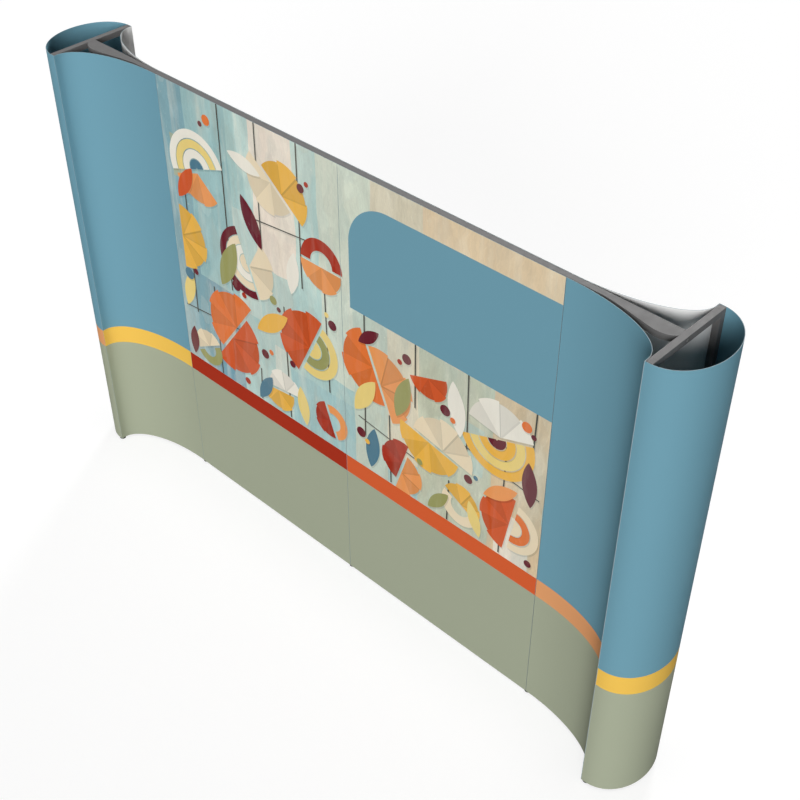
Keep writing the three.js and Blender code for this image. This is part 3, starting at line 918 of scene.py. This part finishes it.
TRIANGLES_INSIDE = 1  # the kind of mesh that the cutting gives
SAME_POINT = 0.02  # points of the outlines that are closer than this become one


def mural_panel(side_name, band):
    """A front centre panel, its face cut along the outlines of the print."""
    name = f"front_centre_panel_{side_name}"
    low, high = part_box(name)
    box = tuple(value / MM for value in (low.x, high.x, low.z, high.z))
    layers, points, faces = [], [], []
    for outline, ink, brush in [(rectangle(*box), SAGE, 0)] + design(band):
        inside = turned_left(clipped_box(outline, box))
        if len(inside) < 3:
            continue
        faces.append(list(range(len(points), len(points) + len(inside))))
        points += [Vector(p) for p in inside]
        layers.append((ink, brush))
    verts, _, cells, _, _, owners = geometry.delaunay_2d_cdt(
        points, [], faces, TRIANGLES_INSIDE, SAME_POINT,
    )
    bm = bmesh.new()
    ink_layer = bm.loops.layers.float_color.new("print")
    brush_layer = bm.faces.layers.float.new("brush")
    made = [bm.verts.new((v.x * MM, low.y, v.y * MM)) for v in verts]
    for cell, owner in zip(cells, owners):
        face = bm.faces.new([made[i] for i in cell])
        colour, brush = SAGE, 0
        for i in sorted(owner):
            ink, layer_brush = layers[i]
            if ink is None:
                colour = darker(colour, SHADE)
            else:
                colour, brush = ink, layer_brush
        for loop in face.loops:
            loop[ink_layer] = colour
        face[brush_layer] = brush
    close_sheet(bm, high.y - low.y)
    materials = [MURAL_PRINT, CORE, WHITE_SHEET]
    add_piece(name + "_print", bm, name, materials, [name], SHEET_BEVEL, 1)


def close_sheet(bm, thickness):
    """Gives a flat face that looks towards -Y its cut edges and its back."""
    for face in bm.faces:
        face.normal_update()
        if face.normal.y > 0:
            face.normal_flip()
    def rim():
        return [edge for edge in bm.edges if len(edge.link_faces) == 1]

    grown = bmesh.ops.extrude_edge_only(bm, edges=rim())["geom"]
    back = [v for v in grown if isinstance(v, bmesh.types.BMVert)]
    for face in (f for f in grown if isinstance(f, bmesh.types.BMFace)):
        face.material_index = 1
    bmesh.ops.translate(bm, verts=back, vec=(0, thickness, 0))
    for face in bmesh.ops.contextual_create(bm, geom=rim())["faces"]:
        face.material_index = 2
    bmesh.ops.recalc_face_normals(bm, faces=bm.faces)
    smooth(bm)


# Panels that are strips along a path.

def strip(inner, outer, heights, ink_at=None, back=0):
    """A sheet between two paths with the same number of points.

    Materials: 0 on the outer face, 1 on the cut edges, and back on the inner face.
    """
    bm = bmesh.new()
    ink_layer = bm.loops.layers.float_color.new("print") if ink_at else None
    grid = [
        [[bm.verts.new((x, y, z)) for x, y in path] for z in heights] for path in (outer, inner)
    ]
    last = len(inner) - 1

    def quad(corners, material, ink=None):
        face = bm.faces.new(corners)
        face.material_index = material
        if ink_layer and ink:
            for loop in face.loops:
                loop[ink_layer] = ink

    for rows, material in zip(grid, (0, back)):
        for j, (low, high) in enumerate(zip(rows, rows[1:])):
            ink = ink_at((heights[j] + heights[j + 1]) / 2) if ink_at else None
            for i in range(last):
                quad((low[i], low[i + 1], high[i + 1], high[i]), material, ink)
    outside, inside = grid
    for j in (0, len(heights) - 1):
        for i in range(last):
            quad((outside[j][i], outside[j][i + 1], inside[j][i + 1], inside[j][i]), 1)
    for j in range(len(heights) - 1):
        for i in (0, last):
            quad((outside[j][i], outside[j + 1][i], inside[j + 1][i], inside[j][i]), 1)
    bmesh.ops.recalc_face_normals(bm, faces=bm.faces)
    smooth(bm)
    return bm


def thickened(path, thickness):
    """The path moved to its left by the sheet's thickness."""
    out = []
    for before, (x, y), after in zip(path[:1] + path, path, path[1:] + path[-1:]):
        along = (Vector(after) - Vector(before)).normalized()
        out.append((x - along.y * thickness, y + along.x * thickness))
    return out


def sheet_thickness():
    """All panels are of one sheet, and a flat one's box shows its thickness."""
    low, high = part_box("front_centre_panel_right")
    return high.y - low.y


def curved_path(side, row):
    """The face of a curved panel that looks at the frame, from the wall to the end frame."""
    low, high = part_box("back_curved_panel_right")
    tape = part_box("right_return_tape_back")[0]
    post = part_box("wall_post_right")[1]
    length, depth = high.x - post.x, tape.y - low.y
    path = [(low.x, low.y)]
    for i in range(CURVE_STEPS + 1):
        turn = math.pi / 2 * i / CURVE_STEPS
        path.append((post.x + length * math.sin(turn), low.y + depth * (1 - math.cos(turn))))
    path.append((high.x, high.y))
    return [(side * x, row * y) for x, y in path]


def end_path(side):
    """The face of an end panel that looks at the frame, from front to back."""
    low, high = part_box("end_panel_right")
    thickness = sheet_thickness()
    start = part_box("right_end_tape_front")[1].x
    reach = high.x - thickness - start
    depth = high.y - thickness
    path = [(low.x, -depth)]
    for i in range(-CURVE_STEPS, CURVE_STEPS + 1):
        turn = math.pi / 2 * i / CURVE_STEPS
        path.append((start + reach * math.cos(turn), depth * math.sin(turn)))
    path.append((low.x, depth))
    return [(side * x, y) for x, y in path]


def zoned(band):
    """The print of a plain panel: its colour at a height."""
    def ink_at(z):
        if z > BAND_TOP * MM:
            return TEAL
        return band if z > BAND_BOTTOM * MM else SAGE

    return ink_at


def build_strip_panels():
    """The curved panels and the end panels."""
    thickness = sheet_thickness()
    bands = {
        "front_curved_panel_left": AMBER, "front_curved_panel_right": PEACH,
        "end_panel_left": PEACH, "end_panel_right": AMBER,
    }
    for end, side in ENDS.items():
        for row_name, row in ROWS.items():
            name = f"{row_name}_curved_panel_{end}"
            path = curved_path(side, row)
            add_strip_panel(name, path, side * row * thickness, bands.get(name))
        name = f"end_panel_{end}"
        add_strip_panel(name, end_path(side), -side * thickness, bands[name])


def add_strip_panel(name, path, thickness, band):
    """A panel along a path: printed if it has a band, and otherwise plain white."""
    low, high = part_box(name)
    one_sided = name.startswith("front")
    heights, ink_at, face, slot = [low.z, high.z], None, WHITE_SHEET, "back_panel_white"
    if band:
        heights = [low.z, BAND_BOTTOM * MM, BAND_TOP * MM, high.z]
        ink_at, face, slot = zoned(band), PLAIN_PRINT, "end_print"
    materials, back = [face, CORE], 0
    if one_sided:
        materials, back, slot = [face, CORE, WHITE_SHEET], 2, "return_print"
    bm = strip(path, thickened(path, thickness), heights, ink_at, back)
    add_piece(name + "_sheet", bm, name, materials, [name], SHEET_BEVEL, 1)


def build_back_panels():
    """The flat panels behind the centre panels."""
    for end in ENDS:
        name = f"back_centre_panel_{end}"
        low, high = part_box(name)
        inner, outer = ([(low.x, y), (high.x, y)] for y in (low.y, high.y))
        bm = strip(inner, outer, [low.z, high.z])
        materials = [WHITE_SHEET, CORE]
        add_piece(name + "_sheet", bm, name, materials, [name], SHEET_BEVEL, 1)


# Stage.

def add_sun(name, azimuth, elevation, strength, softness):
    """A soft lamp far away. The angles say where it stands, in degrees."""
    lamp = bpy.data.lights.new(name, "SUN")
    lamp.energy = strength
    lamp.angle = math.radians(softness)
    turn, rise = math.radians(azimuth), math.radians(elevation)
    level = math.cos(rise)
    towards = Vector((math.sin(turn) * level, -math.cos(turn) * level, math.sin(rise)))
    sun = bpy.data.objects.new(name, lamp)
    sun.rotation_euler = towards.to_track_quat("Z", "Y").to_euler()
    bpy.context.scene.collection.objects.link(sun)


def by_ray(tree, lighting, shown):
    """The shader shown for what the camera sees, also in metal and glass; else lighting."""
    rays = node(tree, "ShaderNodeLightPath").outputs
    direct = calculate(tree, "MAXIMUM", rays["Is Camera Ray"], rays["Is Glossy Ray"])
    direct = calculate(tree, "MAXIMUM", direct, rays["Is Transmission Ray"])
    inputs = {0: direct, 1: lighting.outputs[0], 2: shown.outputs[0]}
    return node(tree, "ShaderNodeMixShader", inputs).outputs[0]


def build_floor():
    """A floor that glows white to the camera and still takes the object's shadow."""
    bm = bmesh.new()
    bmesh.ops.create_grid(bm, x_segments=1, y_segments=1, size=FLOOR_SIZE)
    mesh = bpy.data.meshes.new("studio_floor")
    bm.to_mesh(mesh)
    bm.free()
    material = bpy.data.materials.new("studio_floor")
    material.use_nodes = True
    tree = material.node_tree
    tree.nodes.clear()
    lit = node(tree, "ShaderNodeBsdfDiffuse", {"Color": (FLOOR_SHADED,) * 3 + (1,)})
    glow = node(tree, "ShaderNodeEmission", {"Color": (1, 1, 1, 1), "Strength": FLOOR_GLOW})
    shown = node(tree, "ShaderNodeAddShader", {0: lit.outputs[0], 1: glow.outputs[0]})
    bounce = node(tree, "ShaderNodeBsdfDiffuse", {"Color": (FLOOR_BOUNCE,) * 3 + (1,)})
    node(tree, "ShaderNodeOutputMaterial", {"Surface": by_ray(tree, bounce, shown)})
    mesh.materials.append(material)
    floor = bpy.data.objects.new("studio_floor", mesh)
    bpy.context.scene.collection.objects.link(floor)


def build_world():
    """White all round to the camera, and a faint even light to the object."""
    world = bpy.data.worlds.new("studio")
    world.use_nodes = True
    bpy.context.scene.world = world
    tree = world.node_tree
    tree.nodes.clear()
    fill = node(tree, "ShaderNodeBackground", {"Color": (1, 1, 1, 1), "Strength": FILL})
    shown = node(tree, "ShaderNodeBackground", {"Color": (1, 1, 1, 1), "Strength": 1.0})
    node(tree, "ShaderNodeOutputWorld", {"Surface": by_ray(tree, fill, shown)})


def build_camera():
    """The photograph's own view."""
    data = bpy.data.cameras.new("camera")
    data.sensor_width = SENSOR_WIDTH
    data.lens = CAMERA_FOCAL_SHARE * SENSOR_WIDTH
    data.clip_end = CAMERA_REACH
    yaw, pitch, roll = (math.radians(a) for a in (CAMERA_YAW, CAMERA_PITCH, CAMERA_ROLL))
    heading = Vector((-math.sin(yaw), math.cos(yaw), 0))
    forward = math.cos(pitch) * heading + Vector((0, 0, -math.sin(pitch)))
    right = Vector((math.cos(yaw), math.sin(yaw), 0))
    up = right.cross(forward)
    tilted_right = math.cos(roll) * right + math.sin(roll) * up
    tilted_up = -math.sin(roll) * right + math.cos(roll) * up
    turn = Matrix((tilted_right, tilted_up, -forward)).transposed()
    camera = bpy.data.objects.new("camera", data)
    camera.matrix_world = Matrix.Translation(CAMERA_PLACE) @ turn.to_4x4()
    bpy.context.scene.collection.objects.link(camera)
    bpy.context.scene.camera = camera


build_camera()
build_frame()
build_tapes()
build_feet()
build_screws()
mural_panel("left", DARK_RED)
mural_panel("right", ORANGE_RED)
build_strip_panels()
build_back_panels()
build_floor()
build_world()
add_sun("key_light", *KEY_LIGHT)
add_sun("back_light", *BACK_LIGHT)
add_sun("top_light", *TOP_LIGHT)
bpy.context.scene.view_settings.view_transform = "Standard"
